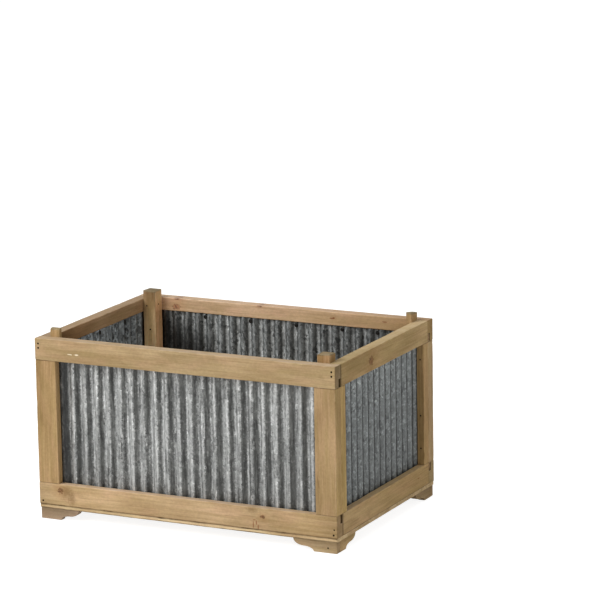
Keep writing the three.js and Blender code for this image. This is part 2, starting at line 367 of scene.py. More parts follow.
def stained_wood(name, pale, late, knots=(), cracks=(), chips=(), smudges=(), ring_width=0.0065, wander=0.03,
                 rings=0.3, rough=0.62, end_dark=0.35, end_tone=(112, 90, 54)):
    """Pale and late wood are mixed by the rings. Over that lie patches, fibre, knots, cracks and chips, then
    rubbed edges, the tint with its painted light and shade, dirt, ends and painted shade in the rabbet. A
    mark is a middle, a weight for each axis and a radius."""
    material, tree, shader = new_material(name)
    edge, end, shaded_rabbet, up = (carried(tree, key, "Fac") for key in ("edge", "end", "shaded_rabbet", "up"))
    tint_and_light, board = carried(tree, "tint_and_light", "Color"), carried(tree, "board", "Vector")
    place = node(tree, "ShaderNodeTexCoord").outputs["Object"]

    def found(mark, ragged):
        middle, weigh, radius = mark
        feeds = {"Place": place, "Middle": middle, "Weigh": weigh, "Radius": radius, "Ragged": ragged}
        return use(tree, mark_group, feeds)

    spots = [found(knot, 1.8) for knot in knots]
    swerve = 0.0
    for spot in spots:
        swerve = calc(tree, "ADD", times(tree, spot["Halo"], KNOT_SWERVE), swerve)
    feeds = {"Board": board, "Ring Width": ring_width, "Wander": wander, "Swerve": swerve}
    grain = use(tree, grain_group, feeds)

    colour = blend(tree, times(tree, grain["Late Wood"], rings), pale, late)
    colour = blend(tree, ease(tree, grain["Streak"], 0.36, 0.68, 0.0, 0.5), colour, OLIVE)
    colour = blend(tree, ease(tree, grain["Cloud"], 0.4, 0.68, 0.0, 0.65), colour, BLUSH)
    colour = blend(tree, ease(tree, grain["Fibre"], 0.36, 0.7, 0.0, 0.5), colour, late)
    colour = blend(tree, times(tree, grain["Smudge"], 0.36), colour, SMUDGED)
    patch = blend(tree, ease(tree, grain["Patch"], 0.32, 0.68), PATCH_DARK, PATCH_LIGHT)
    colour = shaded(tree, colour, patch)
    colour = shaded(tree, colour, ease(tree, grain["Speckle"], 0.3, 0.7, 0.94, 1.06))
    for spot in spots:
        rim = times(tree, spot["Mark"], calc(tree, "SUBTRACT", 1.0, spot["Mark"]))
        colour = blend(tree, times(tree, spot["Halo"], 0.3), colour, KNOT_HALO)
        heart = blend(tree, ease(tree, grain["Speckle"], 0.42, 0.58), KNOT_DARK, KNOT_LIGHT)
        colour = blend(tree, times(tree, spot["Mark"], 0.8), colour, heart)
        colour = blend(tree, times(tree, rim, 1.4), colour, KNOT_RIM)
    for crack in cracks:
        colour = blend(tree, times(tree, found(crack, 0.5)["Mark"], 0.7), colour, SPLIT)
    for smudge in smudges:
        colour = blend(tree, times(tree, found(smudge, 0.9)["Soft"], 0.5), colour, STAIN)
    for chip in chips:
        colour = blend(tree, found(chip, 1.6)["Mark"], colour, CHIPPED)

    worn = noise(tree, place, (60, 60, 60), 3)
    colour = blend(tree, times(tree, up, ease(tree, worn, 0.3, 0.7, 0.3, 0.65)), colour, BLEACH)
    rubbed = calc(tree, "MULTIPLY", edge, ease(tree, worn, 0.4, 0.7, 0.0, 0.3), clamp=True)
    # This tint carries the stain's unevenness and also painted light and shade.
    colour = shaded(tree, blend(tree, rubbed, colour, HANDLED), tint_and_light)
    joint = calc(tree, "MULTIPLY", edge, ease(tree, worn, 0.3, 0.6, -0.85, -0.45), clamp=True)
    colour = blend(tree, joint, colour, DIRT)
    sawn = times(tree, end, ease(tree, worn, 0.3, 0.7, end_dark, 0.7 * end_dark))
    colour = blend(tree, sawn, colour, tone(*end_tone))
    # Painted shade: the rabbet is darkened nearly to black.
    colour = blend(tree, times(tree, shaded_rabbet, 0.95), colour, RABBET_SHADE)

    gloss = calc(tree, "ADD", times(tree, grain["Fibre"], 0.25), rough - 0.12)
    relief = calc(tree, "ADD", times(tree, grain["Fibre"], 0.6), times(tree, grain["Late Wood"], 0.4))
    feed(tree, shader, {
        "Base Color": colour,
        "Roughness": gloss,
        "Specular IOR Level": 0.12,
        "Normal": bumped(tree, relief, 0.25, 0.0004),
    })
    return material


print("stained wood is ready")

# %% [markdown]
# ## Putting arrays into a mesh
# All new pieces are worked out as arrays: a table of points and a table of faces. One function puts them into
# Blender, marks the points of the upper face, and turns the faces outwards. The sum over all faces of the
# volume between the face and the origin is positive when they point out, so a negative sum means that every
# face has to be turned round.

# %% Piece maker
LEVEL = 0.0003


def make_piece(name, points, faces, values, material, replaced=(), sharp=38):
    """Points are rows of three metres, faces are tables of point numbers, and values are one number or vector
    a point. Edges sharper than an angle in degrees stay sharp."""
    points = np.asarray(points, float).reshape(-1, 3)
    volume = 0.0
    for table in faces:
        first = points[table[:, 0]]
        for k in range(1, table.shape[1] - 1):
            volume += np.einsum("ij,ij->", first, np.cross(points[table[:, k]], points[table[:, k + 1]]))
    if volume < 0:
        faces = [table[:, ::-1] for table in faces]
    corners = np.concatenate([table.ravel() for table in faces]).astype(np.int32)
    sizes = np.concatenate([np.full(len(table), table.shape[1]) for table in faces])
    starts = np.concatenate([[0], np.cumsum(sizes)[:-1]]).astype(np.int32)
    mesh = bpy.data.meshes.new(name)
    mesh.vertices.add(len(points))
    mesh.vertices.foreach_set("co", points.astype(np.float32).ravel())
    mesh.loops.add(len(corners))
    mesh.loops.foreach_set("vertex_index", corners)
    mesh.polygons.add(len(sizes))
    mesh.polygons.foreach_set("loop_start", starts)
    mesh.update(calc_edges=True)
    mesh.polygons.foreach_set("use_smooth", np.ones(len(sizes), bool))
    mesh.set_sharp_from_angle(angle=np.radians(sharp))
    upper = points[:, 2] > points[:, 2].max() - LEVEL
    for key, value in {**values, "up": upper}.items():
        value = np.asarray(value, np.float32)
        vector = value.ndim > 1 and value.shape[-1] == 3
        layer = mesh.attributes.new(key, "FLOAT_VECTOR" if vector else "FLOAT", "POINT")
        layer.data.foreach_set("vector" if vector else "value", value.ravel())
    mesh.materials.append(material)
    piece = bpy.data.objects.new(name, mesh)
    scene.collection.objects.link(piece)
    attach(piece, "root")
    if replaced:
        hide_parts(*replaced)
    return piece


def tube_faces(rows, columns):
    """Four-sided faces between neighbouring rows of closed rings, and one many-sided face on each end."""
    row, column = np.meshgrid(np.arange(rows - 1), np.arange(columns), indexing="ij")
    here, right = row * columns + column, row * columns + (column + 1) % columns
    sides = np.stack([here, right, right + columns, here + columns], -1).reshape(-1, 4)
    ring = np.arange(columns)[None, :]
    return [sides, ring[:, ::-1], ring + (rows - 1) * columns]


print("piece maker is ready")

# %% [markdown]
# ## Eased edges
# A planed board has no razor edges: a pass with sandpaper rounds them, and knocks round them a little more
# here and there. A Bevel modifier would make every edge the same. Here the outline of the board's section is
# rounded corner by corner, with a radius that wanders along the board.

# %% Eased outline
SHOULDER = 0.0014
WEAR_WAVES = ((0.22, 0.19), (0.16, 0.07), (0.10, 0.026))
WAVE_STRETCH = (0.7, 1.4)
KNOCKS, KNOCKS_A_METRE = 3, 10
KNOCK_DEPTH, KNOCK_REACH = (0.4, 1.1), (0.0015, 0.006)
END_WEAR, END_REACH = 0.7, 0.006
LEAST_SHARE = 0.6


def eased_outline(corners, arc_steps=4, least_turn=25, shoulder=SHOULDER):
    """Lists the points of an outline whose outward corners become arcs. For a corner K with inward edge
    normals n0 and n1, the mitre is m = (n0 + n1) / (1 + n0.n1), and a point of an arc of radius R is
    K + R (m - n), with n turning from n0 to n1. Drawing the outline in by d adds d n. A shoulder point on
    each edge ends the rubbed strip."""
    corner = np.asarray(corners, float)
    before, after = corner - np.roll(corner, 1, 0), np.roll(corner, -1, 0) - corner
    before /= np.linalg.norm(before, axis=1)[:, None]
    after /= np.linalg.norm(after, axis=1)[:, None]
    first = np.stack([-before[:, 1], before[:, 0]], 1)
    last = np.stack([-after[:, 1], after[:, 0]], 1)
    cosine = np.clip((first * last).sum(1), -1, 1)
    turn = np.arccos(cosine) * np.sign(before[:, 0] * after[:, 1] - before[:, 1] * after[:, 0])
    mitre = (first + last) / (1 + cosine)[:, None]
    rounded = turn > np.radians(least_turn)
    count = np.where(rounded, arc_steps + 3, 1)
    which = np.repeat(np.arange(len(corner)), count)
    order = np.arange(len(which)) - np.repeat(np.cumsum(count) - count, count)
    part = np.clip((order - 1) / arc_steps, 0, 1)
    angle = np.where(rounded, turn, 1.0)[which]
    normal = np.sin((1 - part) * angle)[:, None] * first[which] + np.sin(part * angle)[:, None] * last[which]
    normal /= np.sin(angle)[:, None]
    is_round = rounded[which]
    shift = np.where((order == 0)[:, None], -before[which], 0)
    shift = shift + np.where((order == arc_steps + 2)[:, None], after[which], 0)
    shift = np.where(is_round[:, None], shoulder * shift, 0)
    return {
        "which": which,
        "order": order,
        "steps": arc_steps,
        "place": corner[which] + shift,
        "pull": np.where(is_round[:, None], mitre[which] - normal, 0),
        "inward": np.where(is_round[:, None], normal, mitre[which]),
        "edge": (is_round & (order > 0) & (order < arc_steps + 2)).astype(float),
        "corners": len(corner),
    }


def worn_radius(rng, along, corners, radius):
    """A radius for each corner at each place along a board: three slow waves, a few short knocks and worn
    ends, never under a least share of the plain radius."""
    length = along[-1] - along[0]
    waves = np.zeros((len(along), corners))
    for size, period in WEAR_WAVES:
        start = rng.uniform(0, 2 * np.pi, corners)
        stretch = rng.uniform(*WAVE_STRETCH, corners)
        waves += size * np.sin(2 * np.pi * along[:, None] / (period * stretch) + start)
    for _ in range(int(KNOCKS + KNOCKS_A_METRE * length)):
        middle, corner = rng.uniform(along[0], along[-1]), rng.integers(corners)
        depth, reach = rng.uniform(*KNOCK_DEPTH), rng.uniform(*KNOCK_REACH)
        waves[:, corner] += depth * np.exp(-((along - middle) / reach) ** 2)
    from_end = np.minimum(along - along[0], along[-1] - along)
    waves += rng.uniform(0, END_WEAR, corners) * np.exp(-(from_end / END_REACH) ** 2)[:, None]
    return radius * np.maximum(1 + waves, LEAST_SHARE)


square = [(0, 0), (1, 0), (1, 1), (0, 1)]
print("a square section becomes", len(eased_outline(square)["which"]), "points")

# %% [markdown]
# ## From outline to board
# A board is its outline, repeated in rings along its length. Near both ends the outline draws in along a
# quarter circle, which rounds the sawn ends as well. While the rings are made it is known which points lie on
# edges, on ends and in rabbets, so the masks for the stain are filled in here. Chance comes from one seeded
# generator, so the order in which the boards are made is part of their grain.

# %% Eased board
rng = np.random.default_rng(20)
SPACING, END_GAP = 0.004, 0.0008
END_STEPS, END_DRAW, CLEAR = 4, 1.2, 1.02
JOINT_SHARE = 0.5
PITH_ASIDE, PITH_AWAY, ALONG_TRUNK = (-0.03, 0.03), (0.03, 0.07), (-9, 9)
PLAIN = (1, 1, 1)
NOT_BUTTED = (0, 0, 1)


def spread(steps, share, at=None):
    """Colours looked up at a share of a length. The steps lie at given places, or evenly from 0 to 1."""
    steps = np.atleast_2d(np.asarray(steps, float))
    at = np.linspace(0, 1, len(steps)) if at is None else at
    return np.stack([np.interp(share, at, steps[:, k]) for k in range(3)], -1)


def eased_board(corners, low, high, radius=0.0011, end_ease=0.0006, spacing=SPACING, rabbet=None, darkened_corners=(),
                tint_and_light=PLAIN, butted=NOT_BUTTED, shoulder=SHOULDER, most=2.6):
    """Carries an eased outline from low to high. Returns points (rows, columns, 3) as across, into, along,
    with the board coordinates and masks that go with them. The rabbet lies between two corners, and darkened
    corners, most of them in joints, are sharper and darker. The tint, which holds stain and painted light and
    shade, is one colour, or several that are spread evenly along the board. Butted darkens the two ends by
    two amounts over a reach. No radius is larger than most times the plain one. The outermost rings lie on
    the sawn ends, which keep out of the masks for edges and rabbets."""
    outline = eased_outline(corners, shoulder=shoulder)
    angle = np.linspace(0, np.pi / 2, END_STEPS)
    lead = np.append(0, end_ease * (1 - np.cos(angle)))
    draw = np.append(END_DRAW, 1 - np.sin(angle)) * end_ease
    inset = end_ease + END_GAP
    inner = np.linspace(low + inset, high - inset, max(2, int((high - low) / spacing)))
    along = np.concatenate([low + lead, inner, high - lead[::-1]])
    drawn = np.concatenate([draw, np.zeros(len(inner)), draw[::-1]])
    which, order = outline["which"], outline["order"]
    darkened_corner = np.isin(which, list(darkened_corners))
    radii = worn_radius(rng, along, outline["corners"], radius)[:, which, None]
    radii = np.where(darkened_corner[None, :, None], JOINT_SHARE * radii, radii)
    radii = np.maximum(np.minimum(radii, most * radius), CLEAR * drawn[:, None, None])
    flat = outline["place"] + radii * outline["pull"] + drawn[:, None, None] * outline["inward"]
    grid = flat.shape[:2]
    points = np.concatenate([flat, np.broadcast_to(along[:, None, None], (*grid, 1))], 2)
    middle = flat.reshape(-1, 2).mean(0)
    pith = (rng.uniform(*PITH_ASIDE), rng.choice((-1, 1)) * rng.uniform(*PITH_AWAY))
    offset = np.array((middle[0] + pith[0], middle[1] + pith[1], rng.uniform(*ALONG_TRUNK)))
    edge = outline["edge"] * np.where(darkened_corner, -1, 1)
    shaded_rabbet = np.zeros(len(which))
    if rabbet:
        first, last = rabbet
        shaded_rabbet = ((which == first) & (order > outline["steps"])) | ((which > first) & (which < last))
        shaded_rabbet = (shaded_rabbet | ((which == last) & (order < 2))).astype(float)
    from_end = np.minimum(np.arange(len(along)), np.arange(len(along))[::-1])
    at_end, body = from_end < len(lead), (from_end > 0)[:, None]
    first_dark, last_dark, reach = butted
    shade = first_dark * np.exp(-((along - low) / reach) ** 2)
    shade = shade + last_dark * np.exp(-((high - along) / reach) ** 2)
    tints_and_light = spread(tint_and_light, (along - low) / (high - low)) * (1 - shade[:, None])
    values = {
        "board": (points - offset)[..., [2, 0, 1]].reshape(-1, 3),
        "edge": (body * edge).ravel(),
        "shaded_rabbet": (body * shaded_rabbet).ravel(),
        "end": np.broadcast_to(at_end[:, None].astype(float), grid).ravel(),
        "tint_and_light": np.broadcast_to(tints_and_light[:, None, :], (*grid, 3)).reshape(-1, 3),
    }
    return points, values


print("boards are carried in steps of", SPACING * 1000, "mm")

# %% [markdown]
# ## The four sides
# The four sides are alike, so each is worked out as if it were the front, with x along the side, y into the
# box and z up, and is then turned into its place about the middle of the box. Copies of one finished side
# would be quicker, but then all four would show the same grain. Sizes are read from the solids.

# %% Sides
TURNS = {"front": 0, "right": 1, "back": 2, "left": 3}
ENDS = {
    "front": ("left", "right"),
    "right": ("front", "back"),
    "back": ("right", "left"),
    "left": ("back", "front"),
}
LONG = ("front", "back")
RABBET_LAP = 0.014
JOINT = 0.0003
NEAR = 0.0002
strip_low, strip_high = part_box("right_front_strip")
LIP = strip_high.x - strip_low.x


def turned(points, quarter_turns):
    """Turns points by quarter turns about the upright axis: x, y becomes -y, x for each turn."""
    points = np.array(points, float)
    for _ in range(quarter_turns % 4):
        points = np.stack([-points[..., 1], points[..., 0], points[..., 2]], -1)
    return points


def side_box(name, side):
    """A solid's lowest and highest corner, seen as if its side were the front."""
    corners = turned([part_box(name)[0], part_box(name)[1]], 4 - TURNS[side])
    return corners.min(0), corners.max(0)


def place_board(name, points, values, wood, side="front", order=(0, 1, 2), replaced=()):
    """Puts a board's coordinates into x, y and z by an order, turns it to its side and makes the piece."""
    points = turned(points[..., list(order)], TURNS[side])
    make_piece(name, points, tube_faces(*points.shape[:2]), values, wood, replaced)


print("each rail has a lip of", round(LIP * 1000, 1), "mm in front of the zinc")

# %% [markdown]
# ## Rail wood
# All rails are the same stained wood, but knots, cracks, chips and stains that stand out on the real box have
# their own places. So a rail with marks gets its own copy of the material, with its marks written down as a
# middle, a weight for each axis and a radius. An axis with no weight lets the mark reach through the board.

# %% Rail wood
RAIL_PALE, RAIL_LATE = tone(192, 167, 126), tone(158, 132, 94)
FLAT_OVAL = (0.8, 0, 2)
LOW_OVAL = (1, 0, 1.5)
STREAK = (1.5, 0, 0.45)
MARKS = {
    "front_bottom_rail": {
        "knots": [((-0.2392, 0, 0.0518), (1, 0, 1.1), 0.0058), ((0.1441, 0, 0.0491), LOW_OVAL, 0.0046)],
        "cracks": [
            ((0.1268, 0, 0.0340), (1.8, 0, 0.28), 0.0022),
            ((0.1325, 0, 0.0378), STREAK, 0.0021),
            ((0.1358, 0, 0.0305), STREAK, 0.0021),
            ((0.1290, 0, 0.0422), (0.6, 0, 1.7), 0.0018),
        ],
        "smudges": [
            ((-0.2275, 0, 0.0500), (0.9, 0, 0.7), 0.0110),
            ((-0.2170, 0, 0.0400), (1, 0, 0.5), 0.0080),
            ((0.1250, 0, 0.0590), (0.7, 0, 1.2), 0.0080),
        ],
    },
    "front_top_rail": {
        "chips": [
            ((-0.2119, 0, 0.2913), (0.5, 0, 2.2), 0.0022),
            ((-0.1996, 0, 0.2916), (0.5, 0, 1.8), 0.0026),
        ],
    },
    "right_top_rail": {"knots": [((0, -0.0549, 0.2941), (0, 0.8, 0.85), 0.0070)]},
    "right_bottom_rail": {"cracks": [((0, 0.1295, 0.0468), (0, 0.4, 1.7), 0.0020)]},
    "back_top_rail": {
        "knots": [
            ((-0.2067, 0, 0.2985), (0.85, 0, 1.3), 0.0070),
            ((-0.2052, 0, 0.3135), FLAT_OVAL, 0.0055),
            ((-0.0409, 0, 0.3129), FLAT_OVAL, 0.0040),
            ((0.1020, 0, 0.3040), LOW_OVAL, 0.0026),
        ],
        "cracks": [
            ((0.0990, 0, 0.3030), (0.35, 0, 1.6), 0.0022),
            ((0.1990, 0, 0.3050), (0.4, 0, 1.6), 0.0022),
        ],
    },
}
plain_rail_wood = stained_wood("rail_wood", RAIL_PALE, RAIL_LATE)
marked_wood = {}
for name, marks in MARKS.items():
    marked_wood[name] = stained_wood(f"{name}_wood", RAIL_PALE, RAIL_LATE, **marks)
print("rails with marks of their own:", sorted(marked_wood))

# %% [markdown]
# ## Each board's tint and painted light
# No two boards took the stain alike, and none is even along its length. A tint could be one number for each
# board, but that reads as paint. So a board has one colour or a few that are spread along it, from its low to
# its high end. Upper faces of the rails, sawn ends and the places where boards butt have tints of their own:
# stain gathered in the corners and left smears at the ends of the long rails. The tints also carry painted
# light and shade: they lighten or darken faces for the light that falls on them, most of all inside the box.

# %% Tints
# Tints, partly stain and partly painted light and shade, one colour or several along each board.
TINTS_AND_LIGHT = {
    "front_top_rail": (
        (0.91, 0.88, 0.86), (0.97, 0.96, 0.96), (0.92, 0.92, 0.93), (0.90, 0.88, 0.88), (1.02, 1.03, 1.06),
    ),
    "front_bottom_rail": (
        (1.16, 1.12, 1.13), (1.16, 1.12, 1.16), (1.06, 1.02, 1.06), (1.07, 1.05, 1.09), (1.01, 0.95, 0.89),
    ),
    "right_top_rail": ((0.77, 0.74, 0.59), (0.92, 0.89, 0.75), (0.99, 0.98, 0.87)),
    "right_bottom_rail": ((1.07, 1.02, 0.97), (1.0, 0.95, 0.81), (1.12, 1.06, 0.89)),
    # Painted shade: the left top rail darkens towards its front end.
    "left_top_rail": (
        (1.07, 0.99, 1.07), (1.06, 0.98, 1.04), (1.04, 0.96, 1.0), (0.76, 0.64, 0.56), (0.28, 0.18, 0.1),
    ),
    # Painted light: the back top rail lightens towards its left end, where the left side shades it.
    "back_top_rail": ((0.9, 0.8, 0.73), (1.77, 1.75, 2.15)),
    "front_left_stile": (0.89, 0.84, 0.75),
    "front_right_stile": (0.87, 0.84, 0.8),
    "right_front_strip": (1.0, 0.98, 0.74),
    "right_back_strip": ((1.15, 1.08, 0.95), (1.0, 0.93, 0.81), (0.9, 0.84, 0.72), (0.94, 0.88, 0.76)),
    # Painted light: the back left post is much lighter along most of its length, where the box shades it.
    "back_left_post": (
        *np.outer((1.7, 1.9, 2, 2.1, 2.1, 2.1, 2.1, 2.1, 2.1, 1.77), (1.22, 1.31, 1.46)),
        (0.87, 0.87, 0.83), (0.62, 0.58, 0.59),
    ),
    "front_right_post": (0.85, 0.8, 0.76),
    "right_front_foot": (1.6, 1.6, 1.5),
    "front_left_foot": (1.1, 1.13, 1.46),
    "front_right_foot": (1.0, 1.01, 1.01),
}
# Upper faces have tints of their own, matched to how the light falls on them: painted light and shade.
UPPER_TINTS_AND_LIGHT = {
    "right_top_rail": ((0.81, 0.80, 0.63), (1.03, 1.04, 0.95)),
    "left_top_rail": (0.70, 0.66, 0.64),
    "back_top_rail": ((0.86, 0.78, 0.73), (1.11, 1.03, 1.09), (1.08, 1.07, 1.12)),
}
SAWN = {
    "front_top_rail": (PLAIN, (0.6, 0.6, 0.6)),
    "back_top_rail": ((1.3, 1.35, 1.1), PLAIN),
    "back_bottom_rail": ((1.4, 1.45, 1.3), PLAIN),
}
BUTT_REACH, SMEAR_REACH = 0.0035, 0.03
BUTTED = {
    "front_bottom_rail": (0.2, 0.22, SMEAR_REACH),
    "right_top_rail": (0.6, 0.0, BUTT_REACH),
    "right_bottom_rail": (0.6, 0.1, BUTT_REACH),
    "back_top_rail": (0.3, 0.3, BUTT_REACH),
    "back_bottom_rail": (0.3, 0.3, BUTT_REACH),
    "left_top_rail": (0.6, 0.6, BUTT_REACH),
    "left_bottom_rail": (0.6, 0.6, BUTT_REACH),
}
print("boards with a tint of their own:", len(TINTS_AND_LIGHT))

# %% [markdown]
# ## Rails
# A long side's rails run through to the corners, and a short side's rails butt between them. All have a
# rabbet, a step along the inner edge that takes the zinc. A Boolean could cut it, but would leave its edges
# sharp. So the section of a top rail is an outline with six corners, and a bottom rail has the same outline
# turned upside down.

# %% Rails
def retint(values, where, colours):
    """Multiplies a board's tint by colours where a mask is true."""
    values["tint_and_light"] = values["tint_and_light"] * np.where(where[:, None], colours, 1)


for side in TURNS:
    for level in ("top", "bottom"):
        name = f"{side}_{level}_rail"
        (x0, y0, z0), (x1, y1, z1) = side_box(name, side)
        lip, step = y0 + LIP, z0 + RABBET_LAP
        section = [(y0, z0), (lip, z0), (lip, step), (y1, step), (y1, z1), (y0, z1)]
        rabbet, darkened_corners = (1, 3), ()
        if level == "bottom":
            section, rabbet, darkened_corners = [(y, z0 + z1 - z) for y, z in section[::-1]], (2, 4), (0,)
        points, values = eased_board(section, x0, x1, rabbet=rabbet, darkened_corners=darkened_corners, tint_and_light=TINTS_AND_LIGHT.get(name, PLAIN),
                                     butted=BUTTED.get(name, NOT_BUTTED))
        height, along = points[..., 1].ravel(), points[..., 2].ravel()
        # Painted light and shade: some rails' upper faces take a tint of their own.
        if name in UPPER_TINTS_AND_LIGHT:
            own = spread(UPPER_TINTS_AND_LIGHT[name], (along - x0) / (x1 - x0))
            values["tint_and_light"] = np.where((height > z1 - NEAR)[:, None], own, values["tint_and_light"])
        first, last = SAWN.get(name, (PLAIN, PLAIN))
        retint(values, along < x0 + NEAR, first)
        retint(values, along > x1 - NEAR, last)
        wood = marked_wood.get(name, plain_rail_wood)
        place_board(f"{name}_board", points, values, wood, side, (2, 0, 1), [name])
print("rails: 8")

# %% [markdown]
# ## Stiles and strips
# Stiles stand between the rails of the long sides. On the short sides a narrow strip stands behind each
# stile, thin enough for the zinc to pass behind it. They are made as the rails are, but carried upwards. The
# narrow side of one stile, which faces the weaker lamp, carries painted light that makes it paler towards its
# foot.

# %% Stiles and strips
stile_wood = stained_wood("stile_wood", tone(188, 161, 120), tone(154, 127, 88), ring_width=0.0055,
                          wander=0.02, rings=0.45, end_dark=0.5, end_tone=(70, 50, 26))
# Painted light on the narrow side of a stile, by height, and the warm colour of that light.
STILE_SIDE_LIGHT = {"front_right_stile": ((0.07, 0.13, 0.20, 0.27), (1.37, 1.23, 1.04, 1.08))}
SIDE_LIGHT_WARMTH = (1.0, 1.01, 0.88)


def box_section(low, high):
    """The four corners of a plain board's section, anticlockwise."""
    return [(low[0], low[1]), (high[0], low[1]), (high[0], high[1]), (low[0], high[1])]


for side in TURNS:
    for end, word in zip((-1, 1), ENDS[side]):
        kind = "stile" if side in LONG else "strip"
        name = f"{side}_{word}_{kind}"
        low, high = side_box(name, side)
        section, rabbet = box_section(low, high), None
        if kind == "stile":
            (x0, y0, _), (x1, y1, _) = low, high
            lip, step = y0 + LIP, x1 - RABBET_LAP
            section, rabbet = [(x0, y0), (x1, y0), (x1, lip), (step, lip), (step, y1), (x0, y1)], (2, 4)
            if end > 0:
                section, rabbet = [(x0 + x1 - x, y) for x, y in section[::-1]], (1, 3)
        points, values = eased_board(section, low[2] - JOINT, high[2] + JOINT, rabbet=rabbet,
                                     tint_and_light=TINTS_AND_LIGHT.get(name, PLAIN))
        # Painted light: the narrow side is lighter towards its foot.
        if name in STILE_SIDE_LIGHT:
            lighter = np.interp(points[..., 2].ravel(), *STILE_SIDE_LIGHT[name])
            on_side = (points[..., 0] > high[0] - NEAR).ravel()
            retint(values, on_side, lighter[:, None] * SIDE_LIGHT_WARMTH)
        place_board(f"{name}_board", points, values, stile_wood, side, replaced=[name])
print("stiles: 4, strips: 4")

# %% [markdown]
# ## Posts and floor
# Inside every corner a post runs from the floor to a little above the rim. The four posts are offcuts, so
# each is trimmed by a few millimetres, and their tops are not sawn level: the front left, the front right and
# the back of a top each lie a little above or below the plain one. A tilted post would leave its joints, so
# only the rings of the top are moved. The floor is one wide plank whose edge shows all round below the rails.

# %% Posts and floor
post_wood = stained_wood("post_wood", tone(186, 156, 113), tone(152, 119, 78), ring_width=0.0045, rings=0.4,
                         rough=0.7, end_dark=0.6, end_tone=(116, 114, 92))
floor_wood = stained_wood("floor_wood", tone(228, 204, 162), tone(190, 158, 114), rough=0.75, end_dark=0.1)
POST_TRIM = {
    "front_left": (-0.0026, 0, -0.0064, -0.0018),
    "front_right": (0.0014, 0, 0.0018, 0),
    "back_left": (0, -0.0035, 0.0015, 0),
    "back_right": (0.0008, -0.0025, 0.0014, 0.0006),
}
POST_TOP = {
    "front_left": (-0.0012, -0.0006, 0.0012),
    "front_right": (-0.0016, 0.0002, -0.0008),
    "back_left": (0.0016, 0.0004, 0.0006),
    "back_right": (0.0042, 0.0030, -0.0004),
}
TOP_RINGS = END_STEPS + 1
SIDE_HEIGHTS = (0.27, 0.29, 0.301, 0.315)
# Painted light and shade on the right-hand face of the back left post: darker low down, lighter near the rim.
POST_SIDE_LIGHT = {"back_left": ((0.69, 0.59, 0.54), (1.01, 0.86, 0.79), (2.0, 1.84, 1.91), (2.82, 3.02, 3.32))}

post_box = {}
for corner, trim in POST_TRIM.items():
    name = f"{corner}_post"
    low, high = np.array(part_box(name))
    low[:2], high[:2] = low[:2] + trim[:2], high[:2] + trim[2:]
    post_box[corner] = low, high
    points, values = eased_board(box_section(low, high), low[2], high[2], radius=0.0013, end_ease=0.0012,
                                 tint_and_light=TINTS_AND_LIGHT.get(name, PLAIN))
    top = points[-TOP_RINGS:]
    right, back = ((top[..., k] - low[k]) / (high[k] - low[k]) for k in (0, 1))
    front_left, front_right, behind = POST_TOP[corner]
    top[..., 2] += (1 - back) * ((1 - right) * front_left + right * front_right) + back * behind
    # Painted light and shade on that face, by height.
    if corner in POST_SIDE_LIGHT:
        on_side = (points[..., 0] > high[0] - NEAR).ravel()
        retint(values, on_side, spread(POST_SIDE_LIGHT[corner], points[..., 2].ravel(), SIDE_HEIGHTS))
    place_board(f"{name}_board", points, values, post_wood, replaced=[name])

low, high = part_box("floor_board")
section = box_section((low.y, low.z), (high.y, high.z + JOINT))
# All four corners of the plank's section are darkened along it, the two lower ones as well as the two under
# the rails.
points, values = eased_board(section, low.x, high.x, radius=0.0019, darkened_corners=(0, 1, 2, 3))
place_board("floor_board_plank", points, values, floor_wood, order=(2, 0, 1),
            replaced=["floor_board"])
print("posts:", len(post_box), "and a floor")

# %% [markdown]
# ## Scrolled feet
# Each corner stands on two brackets with a scrolled lower edge: a flat sole, a hollow cove, then a round
# belly that runs up to the tip. The scroll is an outline of two quarter ellipses, and is carried through the
# board's thickness in the same way as the sections above. Its grain runs along the bracket, so the board
# coordinates are reordered. Two brackets were cut a little longer or shorter than the rest.

# %% Feet
foot_wood = stained_wood("foot_wood", tone(182, 158, 124), tone(148, 124, 92), rough=0.75)
COVE_RUN, COVE_RISE, BELLY_RUN = 0.0185, 0.0078, 0.019
# Painted shade: the brackets darken towards their top, under the floor plank.
FOOT_HEIGHTS, FOOT_PAINTED_SHADE = (0.002, 0.017), (1.1, 0.76)
HAND_CUT = {"front_left_foot": (-0.0033, 0.92), "front_right_foot": (0.0033, 1.0)}
HEEL = 0.0012


def scroll_outline(length, height, run=1.0, steps=14):
    """From the heel along the sole. Cove: x = e - a cos t, z = b sin t. Belly: x = e + c sin t,
    z = h - (h - b) cos t. The points next to the sole and the tip are left out, which leaves room for the
    rounding of those two corners."""
    bend = np.linspace(0, np.pi / 2, steps)
    meet = length - run * BELLY_RUN
    cove = np.stack([meet - run * COVE_RUN * np.cos(bend), COVE_RISE * np.sin(bend)], 1)
    belly = np.stack([meet + run * BELLY_RUN * np.sin(bend), height - (height - COVE_RISE) * np.cos(bend)], 1)
    return np.concatenate([[(0, height), (0, 0)], cove[:1], cove[3:], belly[1:-2], belly[-1:]])


